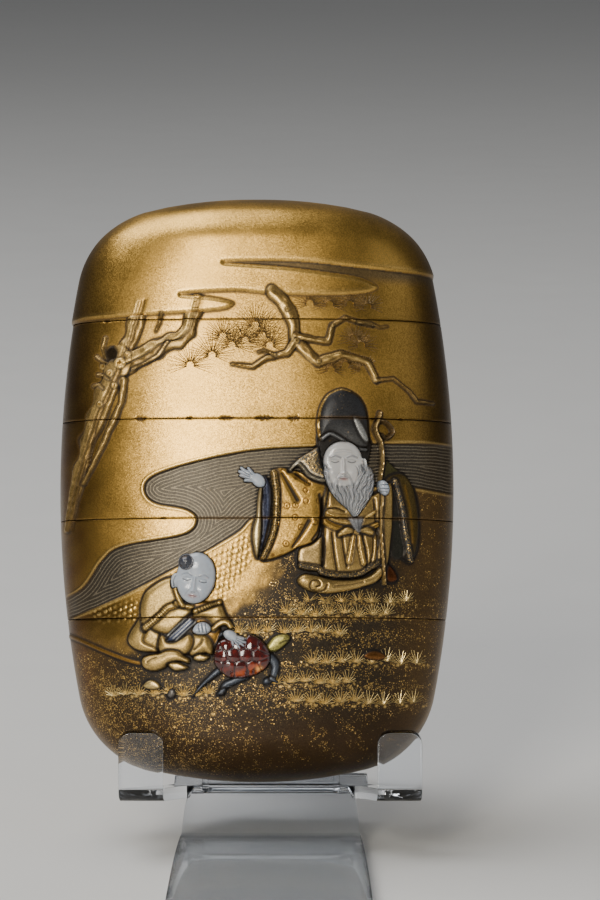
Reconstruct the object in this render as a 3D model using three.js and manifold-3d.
// A lacquered inro of four stacked cases and a lid, in relief on its front, on a clear bent-sheet cradle.
// Millimetres, +Z up. The decorated front looks along -Y and the cradle stands on z = 0.
import * as THREE from 'three';
import { mergeVertices } from 'three/addons/utils/BufferGeometryUtils.js';
import Module from 'manifold-3d';

const wasm = await Module();
wasm.setup();

// ---------------------------------------------------------------- driving dimensions
const HEIGHT = 84;
const HALF_WIDTH = 28.5;
const HALF_DEPTH = 14;
const SECTION_POWER = 2.4;
const WIDTH_ARCS = { side: 157.6, end: 69.3, corner: 13.25 };
const DEPTH_ARCS = { side: 300, end: 26, corner: 6.5 };
const SEAMS = [23.2, 37.3, 51.5, 65.7];
const SEAM_GAP = 0.2;

const WALL = 2.4;
const FLOOR = 1.5;
const RIM_HEIGHT = 3.6;
const FIT_GAP = 0.3;
const COMPARTMENT = { halfWidth: 18.8, halfDepth: 11 };
const RIM_THICKNESS = 1;
const INNER_POWER = 3;
const CORD_CHANNEL = { x: 21.6, radius: 1.1 };

const LEAN = THREE.MathUtils.degToRad(12);
const BASE_LIFT = 8.4;

const SHEET = 1.8;
const STAND_OFFSET = 2;
const BACK_REST_TOP = 50;

// ---------------------------------------------------------------- solids and booleans
function toSolid(geometry) {
  const bare = geometry.clone();
  bare.deleteAttribute('normal');
  bare.deleteAttribute('uv');
  const merged = mergeVertices(bare, 1e-4);
  return new wasm.Manifold(new wasm.Mesh({
    numProp: 3,
    vertProperties: new Float32Array(merged.attributes.position.array),
    triVerts: new Uint32Array(merged.index.array),
  }));
}

function toGeometry(solid) {
  const mesh = solid.getMesh();
  const geometry = new THREE.BufferGeometry();
  geometry.setAttribute('position', new THREE.BufferAttribute(new Float32Array(mesh.vertProperties), 3));
  geometry.setIndex(new THREE.BufferAttribute(new Uint32Array(mesh.triVerts), 1));
  geometry.computeVertexNormals();
  return geometry;
}

function joinAll(solids) {
  return solids.reduce((sum, solid) => sum.add(solid));
}

// ---------------------------------------------------------------- the barrel form
// Half size at a distance from either end: an end arc, a corner arc and a side arc, all tangent.
function tangentArcs(half, radii) {
  const endCentre = new THREE.Vector2(0, radii.end);
  const sideCentre = new THREE.Vector2(half - radii.side, HEIGHT / 2);
  const between = sideCentre.clone().sub(endCentre);
  const span = between.length();
  const toEnd = radii.end - radii.corner;
  const toSide = radii.side - radii.corner;
  const along = (toEnd ** 2 - toSide ** 2 + span ** 2) / (2 * span);
  const across = Math.sqrt(Math.max(toEnd ** 2 - along ** 2, 0));
  const foot = endCentre.clone().addScaledVector(between, along / span);
  const turn = new THREE.Vector2(-between.y, between.x).multiplyScalar(across / span);
  const options = [foot.clone().add(turn), foot.clone().sub(turn)];
  const corner = options[0].y < options[1].y ? options[0] : options[1];
  const endJoin = corner.clone().sub(endCentre).setLength(radii.end).add(endCentre);
  const sideJoin = corner.clone().sub(sideCentre).setLength(radii.side).add(sideCentre);
  const arc = (centre, radius, distance) =>
    centre.x + Math.sqrt(Math.max(radius ** 2 - (distance - centre.y) ** 2, 0));
  return (distance) => {
    if (distance < endJoin.y) return arc(endCentre, radii.end, distance);
    if (distance < sideJoin.y) return arc(corner, radii.corner, distance);
    return arc(sideCentre, radii.side, distance);
  };
}

const widthArcs = tangentArcs(HALF_WIDTH, WIDTH_ARCS);
const depthArcs = tangentArcs(HALF_DEPTH, DEPTH_ARCS);
const halfWidthAt = (z) => widthArcs(Math.min(z, HEIGHT - z));
const halfDepthAt = (z) => depthArcs(Math.min(z, HEIGHT - z));

function roundedSection(angle, halfWidth, halfDepth, power) {
  const bend = (value) => Math.sign(value) * Math.abs(value) ** (2 / power);
  return [halfWidth * bend(Math.cos(angle)), halfDepth * bend(Math.sin(angle))];
}

function frontDepthAt(x, z) {
  const share = Math.abs(x / halfWidthAt(z)) ** SECTION_POWER;
  return -halfDepthAt(z) * Math.max(1 - share, 0) ** (1 / SECTION_POWER);
}

// A lathed unit column whose rings are pushed out to rounded sections.
function sectionColumn(levels, sizeAt, power, segments) {
  const rings = levels.map((z) => new THREE.Vector2(1, z));
  const bottom = new THREE.Vector2(0, levels[0]);
  const top = new THREE.Vector2(0, levels[levels.length - 1]);
  const column = new THREE.LatheGeometry([bottom, ...rings, top], segments);
  column.rotateX(Math.PI / 2);
  const position = column.attributes.position;
  for (let i = 0; i < position.count; i += 1) {
    const z = position.getZ(i);
    const onAxis = Math.hypot(position.getX(i), position.getY(i)) < 0.5;
    const [halfWidth, halfDepth] = onAxis ? [0, 0] : sizeAt(z);
    const angle = Math.atan2(position.getY(i), position.getX(i));
    const [x, y] = roundedSection(angle, halfWidth, halfDepth, power);
    position.setXYZ(i, x, y, z);
  }
  return toSolid(column);
}

const BODY_SEGMENTS = 32;
const END_STEPS = [0.12, 1.2, 3.6, 7.6, 14];
const HOLLOW_SEGMENTS = 16;
const HOLLOW_STEPS = [0.12, 3.6, 9];
const INNER_SEGMENTS = 16;

function levelsFrom(endSteps) {
  return [...endSteps, ...SEAMS, ...endSteps.map((z) => HEIGHT - z).reverse()];
}

const grownBodies = new Map();

function grownColumn(grow, endSteps, segments) {
  const stretch = (HEIGHT + 2 * grow) / HEIGHT;
  const levels = levelsFrom(endSteps).map((z) => HEIGHT / 2 + (z - HEIGHT / 2) * stretch);
  const sizeAt = (z) => {
    const own = HEIGHT / 2 + (z - HEIGHT / 2) / stretch;
    return [halfWidthAt(own) + grow, halfDepthAt(own) + grow];
  };
  return sectionColumn(levels, sizeAt, SECTION_POWER, segments);
}

// The outer form, made larger or smaller all round by grow.
function body(grow = 0) {
  if (!grownBodies.has(grow)) grownBodies.set(grow, grownColumn(grow, END_STEPS, BODY_SEGMENTS));
  return grownBodies.get(grow);
}

// The same form one wall thickness in, with fewer facets because it is seen only when opened.
const hollowForm = grownColumn(-WALL, HOLLOW_STEPS, HOLLOW_SEGMENTS);

function innerColumn(size, extra, from, to) {
  const sizeAt = () => [size.halfWidth + extra, size.halfDepth + extra];
  return sectionColumn([from, to], sizeAt, INNER_POWER, INNER_SEGMENTS);
}

function slab(from, to) {
  const block = new THREE.BoxGeometry(4 * HALF_WIDTH, 8 * HALF_DEPTH, to - from);
  return toSolid(block.translate(0, 0, (from + to) / 2));
}

// ---------------------------------------------------------------- relief tools
// Points are [x, z] on the front, pressed through the front along Y.
function smoothPath(points, pieces) {
  const curve = new THREE.CatmullRomCurve3(points.map(([x, z]) => new THREE.Vector3(x, z, 0)),
    false, 'centripetal');
  return curve.getPoints(pieces).map((point) => [point.x, point.y]);
}

// A band along a path, whose width eases from start to end.
function ribbon(points, startWidth, endWidth = startWidth, pieces = points.length) {
  const path = smoothPath(points, pieces);
  const left = [];
  const right = [];
  path.forEach(([x, z], i) => {
    const before = path[Math.max(i - 1, 0)];
    const after = path[Math.min(i + 1, path.length - 1)];
    const run = Math.hypot(after[0] - before[0], after[1] - before[1]);
    const half = THREE.MathUtils.lerp(startWidth, endWidth, i / (path.length - 1)) / 2;
    const across = [-(after[1] - before[1]) / run * half, (after[0] - before[0]) / run * half];
    left.push([x + across[0], z + across[1]]);
    right.push([x - across[0], z - across[1]]);
  });
  return [...left, ...right.reverse()];
}

function press(outline) {
  const shape = new THREE.Shape(outline.map(([x, z]) => new THREE.Vector2(x, z)));
  const block = new THREE.ExtrudeGeometry(shape, { depth: 2.5 * HALF_DEPTH, bevelEnabled: false });
  return toSolid(block.rotateX(Math.PI / 2));
}

// As press, but through the back too.
function pressThrough(outline) {
  return press(outline).add(press(outline).mirror([0, 1, 0]));
}

const raised = (outline, height) => press(outline).intersect(body(height));
const sunk = (outline, floorHeight) => press(outline).subtract(body(floorHeight));

// The turn that makes something face straight out of the front at [x, z].
function facingOut(x, z) {
  const reach = 0.5;
  const slope = (frontDepthAt(x + reach, z) - frontDepthAt(x - reach, z)) / (2 * reach);
  const rake = (frontDepthAt(x, z + reach) - frontDepthAt(x, z - reach)) / (2 * reach);
  const outward = new THREE.Vector3(slope, -1, rake).normalize();
  return new THREE.Quaternion().setFromUnitVectors(new THREE.Vector3(0, -1, 0), outward);
}

const BROAD_PAD = 2.5;

// An ellipsoid whose middle sits on the front at [x, z], turned to face straight out of it.
function pad([x, z], [halfWidth, halfHeight, rise], tilt = 0, extra = 0) {
  const steps = halfWidth > BROAD_PAD ? 6 : 4;
  const ball = new THREE.SphereGeometry(1, 2 * steps, steps + 1);
  ball.scale(halfWidth + extra, rise + extra, halfHeight + extra);
  ball.rotateY(tilt);
  ball.applyQuaternion(facingOut(x, z));
  ball.translate(x, frontDepthAt(x, z), z);
  return toSolid(ball);
}

// A block that reaches outward from a flat back, set depth below the front at [x, z].
function outwardBlock([x, z], depth) {
  const size = HALF_DEPTH;
  const block = new THREE.BoxGeometry(size, size, size);
  block.translate(0, depth - size / 2, 0);
  block.applyQuaternion(facingOut(x, z));
  block.translate(x, frontDepthAt(x, z), z);
  return toSolid(block);
}

// ---------------------------------------------------------------- clouds and water
const CLOUD_HEIGHT = 0.3;
const CLOUD_BANK = [
  [-40, 65.6], [-24.6, 66], [-15.5, 66.4], [-10, 66.6], [-5.1, 67], [-3.6, 67.5], [-3.5, 68.1],
  [-6.5, 68.8], [-10.8, 69.3], [-3, 69.7], [2.5, 69.2], [9.5, 69.1], [14.5, 69.4], [16.6, 69.9],
  [17.1, 70.6], [14.5, 71.8], [9.5, 72.5], [3.5, 73.2], [-4.6, 73.8], [-0.5, 74], [7, 73.9],
  [14.5, 73.2], [25, 72.5], [40, 72], [40, 100], [-40, 100],
];
const STREAM_FLOOR = -0.3;
const STREAM = [
  [30, 47.5], [18, 48], [9, 47.5], [0, 47], [-8, 45.5], [-14.5, 43.5], [-16, 41.5],
  [-14.5, 39.5], [-10, 38.5], [-8.5, 37], [-10.5, 35], [-19, 33.5], [-22, 31.5], [-25, 27.5],
  [-30, 25], [-30, 22.5], [-20, 26], [-11, 30.5], [-3, 35], [0, 37.5], [8, 40], [19, 42],
  [30, 41.5],
];

// The cloud bank lies over the whole top, front and back alike.
function cloudBank() {
  return pressThrough(CLOUD_BANK).intersect(body(CLOUD_HEIGHT));
}

// ---------------------------------------------------------------- pines
const PINE_HEIGHT = 0.55;
const LEFT_PINE = [
  { path: [[-17, 66.2], [-17.8, 63.5], [-18.7, 61]], widths: [2.2, 2] },
  { path: [[-8.9, 66.2], [-9.7, 64], [-11.4, 62.7], [-13.8, 62], [-16.5, 60.6], [-19.3, 59]],
    widths: [1.8, 3] },
  { path: [[-19.3, 60.5], [-20.3, 57.5], [-21.8, 54], [-23.4, 50], [-24.8, 45.5], [-26.2, 40], [-27, 35]],
    widths: [4.4, 1.2] },
  { path: [[-18.8, 57], [-19.3, 53.5], [-21, 49.5], [-23.3, 45], [-24.6, 42.5]], widths: [1.2, 0.6] },
];
const RIGHT_PINE = [
  { path: [[2.3, 69.3], [4.5, 67.2], [5.2, 64.8], [5.8, 62.4], [8.7, 59.5], [12.2, 60.7], [15.6, 59.9],
    [17.1, 57]], widths: [2, 0.8] },
  { path: [[5.6, 63.1], [8, 62.6], [10.3, 62.6], [10.8, 64.6], [12.6, 65.9], [16.5, 64.9]],
    widths: [0.9, 0.5] },
  { path: [[5.6, 62.5], [4.3, 60.8], [1.5, 60.1], [-0.6, 58.7], [-3.4, 59.2]], widths: [1, 0.4] },
];

function pines() {
  const trunk = LEFT_PINE.map(({ path, widths }) => raised(ribbon(path, ...widths), PINE_HEIGHT));
  const boughs = RIGHT_PINE.map(({ path, widths }) => raised(ribbon(path, ...widths), PINE_HEIGHT));
  return joinAll([...trunk, ...boughs]);
}

// ---------------------------------------------------------------- the sage
const SAGE = {
  hood: { centre: [12.2, 51], size: [3.5, 4.6, 1.3] },
  brim: [[9.1, 48.2], [10.1, 49.2], [12.2, 48.4], [14.9, 47.3], [16, 47.6]],
  cape: [[4.7, 44.2], [5.8, 45.6], [9.1, 47.5], [9.6, 45.5], [10.6, 43], [9.3, 42.3], [7.7, 42.7],
    [6.4, 43.7]],
  sleeve: [[1.9, 44], [4.6, 44.2], [8, 43], [9.6, 42], [9.3, 38.5], [8.9, 35.4], [7.9, 33.9], [5.8, 33.1],
    [3.2, 31.8], [0.4, 31.4], [-0.5, 35.4], [0, 38], [0.4, 41.6]],
  cuff: [[2.6, 43.4], [2.9, 41], [2.9, 38.5], [2.6, 36], [1.8, 33.6], [0.9, 31.7]],
  sleeveFolds: [
    [[3.6, 43.4], [4.7, 41.6], [5.8, 40]],
    [[7.3, 36.7], [6.3, 35], [5.2, 33.3]],
    [[9.1, 40.4], [9.2, 38], [8.9, 35.6], [8, 34.2]],
  ],
  robe: [[9.2, 42.5], [12, 40], [16.6, 40.6], [18.9, 42.5], [19.4, 38], [18.6, 30.5], [14.4, 29.4],
    [6.3, 29.7], [6.1, 32.4], [9, 34.5], [9.4, 38]],
  farSleeve: [[18.3, 42.8], [20.3, 43.8], [22.4, 41], [22.9, 36.5], [22.1, 31.6], [20.6, 32.4],
    [19.3, 36], [18.5, 40]],
  farCuff: [[19.6, 43], [20.1, 40.6], [20.8, 37.4], [21.8, 33.2]],
  robeFolds: [
    [[9.4, 41], [9.9, 39], [9.5, 37], [9.3, 34], [9.3, 30.6]],
    [[10.6, 35], [10.9, 32], [11.4, 30]],
    [[12.1, 34.6], [12.5, 32], [12.9, 30.4]],
    [[15.2, 34.6], [15.6, 32], [15.2, 30.4]],
  ],
  sash: [[9.6, 36.7], [11.4, 35.8], [13.8, 35.4], [16.4, 36]],
  bow: [
    [[13.9, 35.4], [12.6, 35.5], [11.5, 34.7]],
    [[13.9, 35.4], [15, 35.5], [16.3, 34.8]],
    [[13.8, 35.2], [13.7, 33], [13.2, 31]],
    [[14.5, 35.2], [15, 33], [15.1, 31]],
  ],
  hemRoll: [[6.4, 28.2], [8.3, 27.5], [11, 27.6], [14, 28], [16.4, 29], [18, 30.2]],
  staff: [[17.5, 52.3], [17.1, 49.9], [17.6, 47.6], [17.8, 45.2], [17.5, 43], [17.6, 39], [17.5, 36],
    [17.8, 31.5], [18, 28]],
  staffHook: [[17.6, 51.3], [18.7, 50.6], [19, 49.4], [18, 48.7]],
  beardTip: [[12.9, 37.3], [14.9, 37.3], [14.7, 36.3], [14.4, 35.3], [13.6, 36]],
};
const LOW = 0.55;
const MIDDLE = 0.85;
const HIGH = 1.15;
const FOLD_FLOOR = 0.4;

function sageCloth() {
  const cloth = joinAll([
    raised(SAGE.farSleeve, LOW),
    raised(ribbon(SAGE.farCuff, 0.8), MIDDLE),
    raised(SAGE.robe, MIDDLE),
    raised(SAGE.sleeve, MIDDLE),
  ]);
  const folds = [
    ...SAGE.sleeveFolds.map((fold) => sunk(ribbon(fold, 0.5, 0.7, 2), FOLD_FLOOR)),
    ...SAGE.robeFolds.map((fold) => sunk(ribbon(fold, 0.4, 0.4, 2), FOLD_FLOOR)),
  ];
  return joinAll([
    cloth.subtract(joinAll(folds)),
    raised(ribbon(SAGE.cuff, 1, 0.8, 5), HIGH),
    raised(SAGE.cape, HIGH),
    raised(ribbon(SAGE.sash, 0.8, 0.8, 3), HIGH),
    ...SAGE.bow.map((band) => raised(ribbon(band, 0.6, 0.9, 2), HIGH)),
    raised(ribbon(SAGE.hemRoll, 2.2, 1.2, 5), HIGH),
    pad(SAGE.hood.centre, SAGE.hood.size),
    raised(ribbon(SAGE.brim, 0.8, 0.6, 5), HIGH),
    raised(ribbon(SAGE.staff, 0.6, 0.5, 8), HIGH),
    raised(ribbon(SAGE.staffHook, 0.5, 0.5, 4), HIGH),
    raised(SAGE.beardTip, HIGH),
  ]);
}

// ---------------------------------------------------------------- the boy and the tortoise
const BOY = {
  back: [[-11.6, 29], [-14.4, 28], [-15.9, 26.4], [-16.3, 24], [-17.4, 21.8], [-18, 20], [-16.6, 18.7],
    [-14, 18.2], [-6.6, 18], [-6, 20], [-4, 21.6], [-3.9, 23.2], [-5.2, 25.2], [-8, 24.4]],
  sleeve: { path: [[-13.9, 26.6], [-13.9, 23.6], [-12.6, 22.4], [-10, 22.4]], widths: [4, 1.8] },
  farSleeve: { path: [[-7.4, 24.4], [-5.4, 23.6], [-4.6, 22.4]], widths: [1.6, 2] },
  thigh: { path: [[-15.2, 20.2], [-12.4, 19.4], [-9.7, 19.6], [-8, 20.4]], widths: [3, 2.4] },
  calf: { path: [[-15, 17], [-12.8, 17.4], [-10.4, 18.4]], widths: [2.4, 1.6] },
  knee: { centre: [-7.6, 19.2], size: [1.7, 1.9, 1] },
  feet: [[[-12.4, 16.3], [-10.8, 16.4], [-9.5, 16.1]], [[-8.8, 17.6], [-7.6, 17.4], [-6.6, 17.8]]],
  collar: [[-11.2, 27.6], [-10.6, 25.4], [-8.6, 24.5], [-6.8, 24.7], [-5.3, 25.3]],
  seamLine: [[-15.9, 21.8], [-14.2, 23.1], [-12.2, 24.7], [-11, 25]],
  folds: [[[-15.6, 20.6], [-14.2, 19.6], [-13.4, 18.6]], [[-12, 20.6], [-10.4, 21.8], [-9.2, 23.1]]],
};
function boyCloth() {
  const band = ({ path, widths }) => raised(ribbon(path, ...widths, 4), HIGH);
  const cloth = joinAll([
    raised(BOY.back, MIDDLE),
    band(BOY.sleeve),
    band(BOY.farSleeve),
    band(BOY.thigh),
    band(BOY.calf),
    pad(BOY.knee.centre, BOY.knee.size),
    ...BOY.feet.map((foot) => raised(ribbon(foot, 1, 0.7, 2), LOW)),
    raised(ribbon(BOY.collar, 0.7, 0.7, 5), HIGH),
  ]);
  const folds = [BOY.seamLine, ...BOY.folds].map((fold) => sunk(ribbon(fold, 0.4, 0.5, 2), FOLD_FLOOR));
  return cloth.subtract(joinAll(folds));
}

const TORTOISE = {
  shell: { centre: [-2, 17.8], size: [4, 3.2, 1.5], tilt: -0.1 },
  head: [[1.4, 18.8], [2.8, 20.6], [4.3, 20.8], [4.7, 20.1], [3.9, 19.2], [2.5, 18.4]],
  limbs: [
    { path: [[1.4, 18], [2.6, 16.8], [2.5, 15], [1.5, 14.1]], widths: [1.2, 0.7] },
    { path: [[-1.8, 14.9], [-3.6, 13.9], [-4.8, 12.6]], widths: [1.2, 1] },
    { path: [[-5.2, 15.8], [-7.2, 14], [-8.8, 12.3]], widths: [0.9, 0.3] },
  ],
};
const PEBBLES = [
  { centre: [-14.8, 13.8], size: [1.15, 0.6, 0.5] },
  { centre: [-12, 12.5], size: [0.65, 0.6, 0.5] },
  { centre: [16.8, 17.9], size: [1.6, 0.6, 0.4] },
];

function tortoiseLimbs() {
  const limbs = TORTOISE.limbs.map(({ path, widths }) => raised(ribbon(path, ...widths, 3), LOW));
  return joinAll([...limbs, raised(TORTOISE.head, MIDDLE)]);
}

// ---------------------------------------------------------------- inlays
// Each inlay lies in a pocket that is larger all round by the fitting gap.
const INLAY_DEPTH = 0.55;
const POCKET_DEPTH = INLAY_DEPTH + FIT_GAP;
const SAGE_FACE = { centre: [12.5, 44.6], size: [3.1, 3.9, 1.8] };
const SAGE_EAR = { centre: [16.6, 45.2], size: [0.85, 0.85, 1.3] };
const SAGE_TEMPLE = { centre: [15.5, 45.6], size: [1.1, 1.5, 1.2] };
const SAGE_BEARD = { centre: [13.6, 40.2], size: [2, 3.6, 1.5] };
const SAGE_LEFT_HAND = { centre: [-0.6, 43], size: [2.1, 0.95, 1], tilt: 0.62 };
const SAGE_RIGHT_HAND = { centre: [17.8, 41.6], size: [0.75, 1.1, 1.7] };
const BOY_HEAD = { centre: [-8.5, 28.7], size: [3, 3.8, 1.9], tilt: -0.15 };
const BOY_TUFT = { centre: [-9.9, 31], size: [1.2, 1.2, 1.9] };
const BOY_FAR_HAND = { centre: [-7.6, 21.6], size: [1.35, 0.95, 1.5] };
const BOY_NEAR_HAND = { centre: [-2.9, 20.2], size: [1.8, 0.8, 2.1], tilt: 0.58 };

function inlay(pads, depth, extra = 0) {
  const form = joinAll(pads.map(({ centre, size, tilt = 0 }) => pad(centre, size, tilt, extra)));
  return form.intersect(outwardBlock(pads[0].centre, depth));
}

const seatLevel = SEAMS[1] + SEAM_GAP / 2;
const sageHeadPads = [SAGE_FACE, SAGE_BEARD, SAGE_TEMPLE, SAGE_EAR];
const boyHeadPads = [BOY_HEAD, BOY_TUFT];

const INLAYS = {
  sage_head: { pads: sageHeadPads, lowest: seatLevel },
  sage_left_hand: { pads: [SAGE_LEFT_HAND] },
  sage_right_hand: { pads: [SAGE_RIGHT_HAND] },
  boy_head: { pads: boyHeadPads },
  boy_far_hand: { pads: [BOY_FAR_HAND] },
  boy_near_hand: { pads: [BOY_NEAR_HAND] },
  tortoise_shell: { pads: [TORTOISE.shell], avoids: BOY_NEAR_HAND },
};

function inlaySolid({ pads, lowest, avoids }) {
  let solid = inlay(pads, INLAY_DEPTH);
  if (lowest) solid = solid.intersect(slab(lowest, HEIGHT));
  if (avoids) solid = solid.subtract(pad(avoids.centre, avoids.size, avoids.tilt, FIT_GAP));
  return solid;
}

function inlayPockets() {
  return joinAll(Object.values(INLAYS).map(({ pads }) => inlay(pads, POCKET_DEPTH, FIT_GAP)));
}

// ---------------------------------------------------------------- the stacked cases
function decoratedBody() {
  const figures = joinAll([
    pines(), sageCloth(), boyCloth(), tortoiseLimbs(),
    ...PEBBLES.map(({ centre, size }) => pad(centre, size)),
  ]);
  return body().add(cloudBank()).subtract(sunk(STREAM, STREAM_FLOOR)).add(figures).subtract(inlayPockets());
}

function cordChannels() {
  return joinAll([-1, 1].map((side) => {
    const bore = new THREE.CylinderGeometry(CORD_CHANNEL.radius, CORD_CHANNEL.radius, 2 * HEIGHT, 8);
    return toSolid(bore.rotateX(Math.PI / 2).translate(side * CORD_CHANNEL.x, 0, HEIGHT / 2));
  }));
}

const whole = decoratedBody().subtract(cordChannels());
const RIM_OVERLAP = 0.5;
const OPEN_END = 1;
const recessDepth = RIM_HEIGHT + FIT_GAP;

function rimAbove(level) {
  return innerColumn(COMPARTMENT, RIM_THICKNESS, level - RIM_OVERLAP, level + RIM_HEIGHT);
}

function recessAbove(level) {
  return innerColumn(COMPARTMENT, RIM_THICKNESS + FIT_GAP, level - OPEN_END, level + recessDepth);
}

function compartment(from, level) {
  return innerColumn(COMPARTMENT, 0, from, level + RIM_HEIGHT + OPEN_END);
}

function lidSolid() {
  const seam = SEAMS[3] + SEAM_GAP / 2;
  const hollow = innerColumn(COMPARTMENT, RIM_THICKNESS + FIT_GAP, seam - OPEN_END, HEIGHT);
  return whole.intersect(slab(seam, 2 * HEIGHT))
    .subtract(recessAbove(seam))
    .subtract(hollow.intersect(hollowForm));
}

function middleCase(lowerSeam, upperSeam) {
  const bottom = lowerSeam + SEAM_GAP / 2;
  const top = upperSeam - SEAM_GAP / 2;
  return whole.intersect(slab(bottom, top))
    .add(rimAbove(top))
    .subtract(recessAbove(bottom))
    .subtract(compartment(bottom + recessDepth + FLOOR, top));
}

function bottomCase() {
  const top = SEAMS[0] - SEAM_GAP / 2;
  const upperPart = compartment(SEAMS[0] / 2, top);
  const lowerPart = compartment(WALL, top).intersect(hollowForm);
  return whole.intersect(slab(-HEIGHT, top))
    .add(rimAbove(top))
    .subtract(upperPart.add(lowerPart));
}

// ---------------------------------------------------------------- the cradle
const TONGUE = { front: -54, halfWidthFront: 14.2, halfWidthBack: 10, flareStart: 3.5, flarePower: 0.2 };
const RISER = { footY: -3.6, seatY: 3.2 };
const SEAT_TOP = BASE_LIFT - 1;
const HOOK = { inner: 15.2, outer: 21.5, frontY: -10.9, top: BASE_LIFT + 9.7, level: BASE_LIFT + 1.3 };
const ARM_ROOT = { y: 12, inner: 9, outer: 14, splayStart: 3.5, splayPower: 0.45, lap: 0.1 };
const REAR_FOOT = { y: 44, length: 8 };

// The middle line of a bent sheet: straight runs with rounded bends at the corners.
function bentLine(corners, bendRadius, stepsPerBend) {
  const line = [corners[0].clone()];
  for (let i = 1; i < corners.length - 1; i += 1) {
    const towardsLast = corners[i - 1].clone().sub(corners[i]).normalize();
    const towardsNext = corners[i + 1].clone().sub(corners[i]).normalize();
    const halfTurn = Math.acos(THREE.MathUtils.clamp(towardsLast.dot(towardsNext), -1, 1)) / 2;
    const setback = bendRadius / Math.tan(halfTurn);
    const start = corners[i].clone().addScaledVector(towardsLast, setback);
    const end = corners[i].clone().addScaledVector(towardsNext, setback);
    const bend = new THREE.QuadraticBezierCurve(start, corners[i], end);
    line.push(...bend.getPoints(stepsPerBend));
  }
  line.push(corners[corners.length - 1].clone());
  return line;
}

function thickened(line, thickness) {
  const offset = (side) => line.map((point, i) => {
    const before = line[Math.max(i - 1, 0)];
    const after = line[Math.min(i + 1, line.length - 1)];
    const run = after.clone().sub(before).normalize();
    return new THREE.Vector2(point.x - run.y * side * thickness / 2, point.y + run.x * side * thickness / 2);
  });
  return new THREE.Shape([...offset(1), ...offset(-1).reverse()]);
}

// A bent sheet from its side view (Y, Z), whose left and right edges follow edgesAt(y, z).
function bentSheet(line, edgesAt) {
  const profile = new THREE.ExtrudeGeometry(thickened(line, SHEET), { depth: 1, bevelEnabled: false });
  const position = profile.attributes.position;
  for (let i = 0; i < position.count; i += 1) {
    const y = position.getX(i);
    const z = position.getY(i);
    const [left, right] = edgesAt(y, z);
    position.setXYZ(i, THREE.MathUtils.lerp(left, right, position.getZ(i)), y, z);
  }
  return toSolid(profile);
}

// A point given in the leaning case's own depth and height, as cradle Y and Z.
function leaning(depth, height) {
  return new THREE.Vector2(
    depth * Math.cos(LEAN) + height * Math.sin(LEAN),
    BASE_LIFT - depth * Math.sin(LEAN) + height * Math.cos(LEAN));
}

function cradle() {
  const restDepth = HALF_DEPTH + FIT_GAP + SHEET / 2;
  const middle = SHEET / 2;
  const seatLine = SEAT_TOP - middle;
  const restFoot = leaning(restDepth, 0);
  const slopeBack = Math.tan(LEAN);
  const seatBack = new THREE.Vector2(restFoot.x + (seatLine - restFoot.y) * slopeBack, seatLine);
  const spine = bentLine([
    new THREE.Vector2(TONGUE.front, middle),
    new THREE.Vector2(RISER.footY, middle),
    new THREE.Vector2(RISER.seatY, seatLine),
    seatBack,
    leaning(restDepth, BACK_REST_TOP),
    new THREE.Vector2(REAR_FOOT.y, middle),
    new THREE.Vector2(REAR_FOOT.y + REAR_FOOT.length, middle),
  ], 1.6, 3);
  const flare = (y) => {
    const share = THREE.MathUtils.clamp((TONGUE.flareStart - y) / (TONGUE.flareStart - TONGUE.front), 0, 1);
    return THREE.MathUtils.lerp(TONGUE.halfWidthBack, TONGUE.halfWidthFront, share ** TONGUE.flarePower);
  };
  const tongue = bentSheet(spine, (y) => [-flare(y), flare(y)]);
  const armLevel = seatLine - ARM_ROOT.lap;
  const armLine = bentLine([
    new THREE.Vector2(ARM_ROOT.y, armLevel),
    new THREE.Vector2(RISER.seatY, armLevel),
    new THREE.Vector2(HOOK.frontY, HOOK.level - middle),
    new THREE.Vector2(HOOK.frontY - 0.8, HOOK.top),
  ], 1.4, 4);
  const splay = (y) => {
    const share = (ARM_ROOT.splayStart - y) / (ARM_ROOT.splayStart - HOOK.frontY);
    return THREE.MathUtils.clamp(share, 0, 1) ** ARM_ROOT.splayPower;
  };
  const arms = [-1, 1].map((side) => bentSheet(armLine, (y) => {
    const inner = THREE.MathUtils.lerp(ARM_ROOT.inner, HOOK.inner, splay(y));
    const outer = THREE.MathUtils.lerp(ARM_ROOT.outer, HOOK.outer, splay(y));
    return side > 0 ? [inner, outer] : [-outer, -inner];
  }));
  const corners = [-1, 1].map((side) => hookCornerCuts(side));
  return joinAll([tongue, ...arms]).subtract(joinAll(corners));
}

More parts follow.
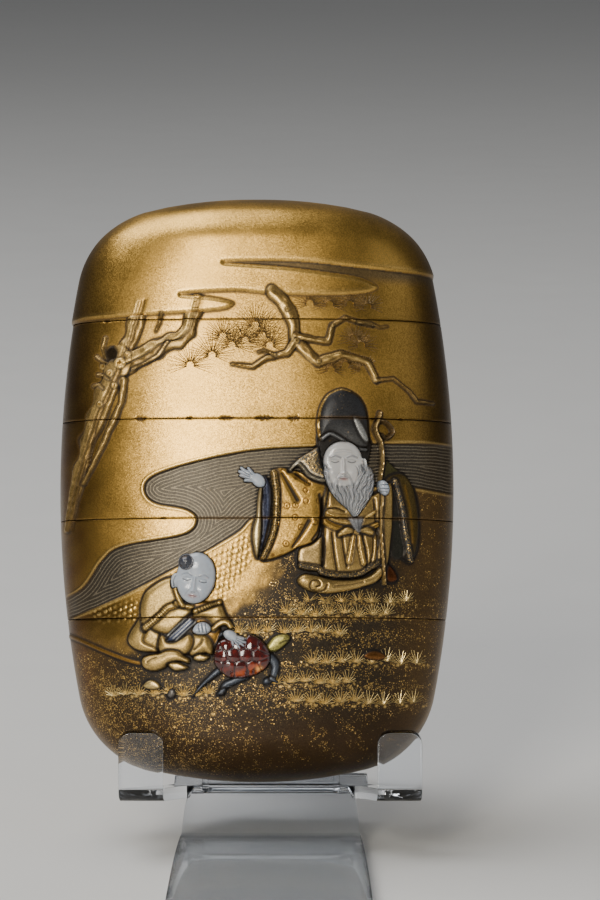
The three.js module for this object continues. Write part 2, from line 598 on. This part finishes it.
// Rounds both top corners of a hook's upright tab.
function hookCornerCuts(side) {
  const radius = 1.8;
  const cuts = [HOOK.inner, HOOK.outer].map((edge, i) => {
    const inward = i === 0 ? 1 : -1;
    const shape = new THREE.Shape();
    shape.moveTo(edge - inward, HOOK.top - radius);
    shape.lineTo(edge, HOOK.top - radius);
    const turn = i === 0 ? [Math.PI, Math.PI / 2, true] : [0, Math.PI / 2, false];
    shape.absarc(edge + inward * radius, HOOK.top - radius, radius, ...turn);
    shape.lineTo(edge + inward * radius, HOOK.top + 1);
    shape.lineTo(edge - inward, HOOK.top + 1);
    const options = { depth: 4 * SHEET, bevelEnabled: false, curveSegments: 5 };
    const block = new THREE.ExtrudeGeometry(shape, options).rotateX(Math.PI / 2);
    block.translate(0, HOOK.frontY + SHEET, 0);
    return toSolid(block);
  });
  const pair = joinAll(cuts);
  return side > 0 ? pair : pair.mirror([1, 0, 0]);
}

// ---------------------------------------------------------------- finishes
const finish = (color, roughness, metalness) =>
  new THREE.MeshStandardMaterial({ color, roughness, metalness });
const goldLacquer = () => finish(0xa8853c, 0.4, 0.75);
const darkLacquer = () => finish(0x5c4a22, 0.45, 0.6);
const ivory = () => finish(0xcfd2cf, 0.35, 0);
const amber = () => finish(0x5a1208, 0.15, 0);
const acrylic = () => new THREE.MeshStandardMaterial({
  color: 0xdfe6ee, roughness: 0.05, metalness: 0, transparent: true, opacity: 0.35 });

function piece(name, solid, material) {
  const mesh = new THREE.Mesh(toGeometry(solid), material);
  mesh.name = name;
  return mesh;
}

const inro = new THREE.Group();
inro.add(piece('lid', lidSolid(), goldLacquer()));
inro.add(piece('case_1', middleCase(SEAMS[2], SEAMS[3]), goldLacquer()));
inro.add(piece('case_2', middleCase(SEAMS[1], SEAMS[2]), goldLacquer()));
inro.add(piece('case_3', middleCase(SEAMS[0], SEAMS[1]), darkLacquer()));
inro.add(piece('case_4', bottomCase(), darkLacquer()));
Object.entries(INLAYS).forEach(([name, parts]) => {
  inro.add(piece(name, inlaySolid(parts), name === 'tortoise_shell' ? amber() : ivory()));
});
inro.rotation.x = -LEAN;
inro.position.z = BASE_LIFT;

const stand = piece('display_stand', cradle(), acrylic());
stand.position.x = STAND_OFFSET;

const part = new THREE.Group();
part.add(inro, stand);
part.position.y = -(TONGUE.front + REAR_FOOT.y + REAR_FOOT.length) / 2;
export default part;
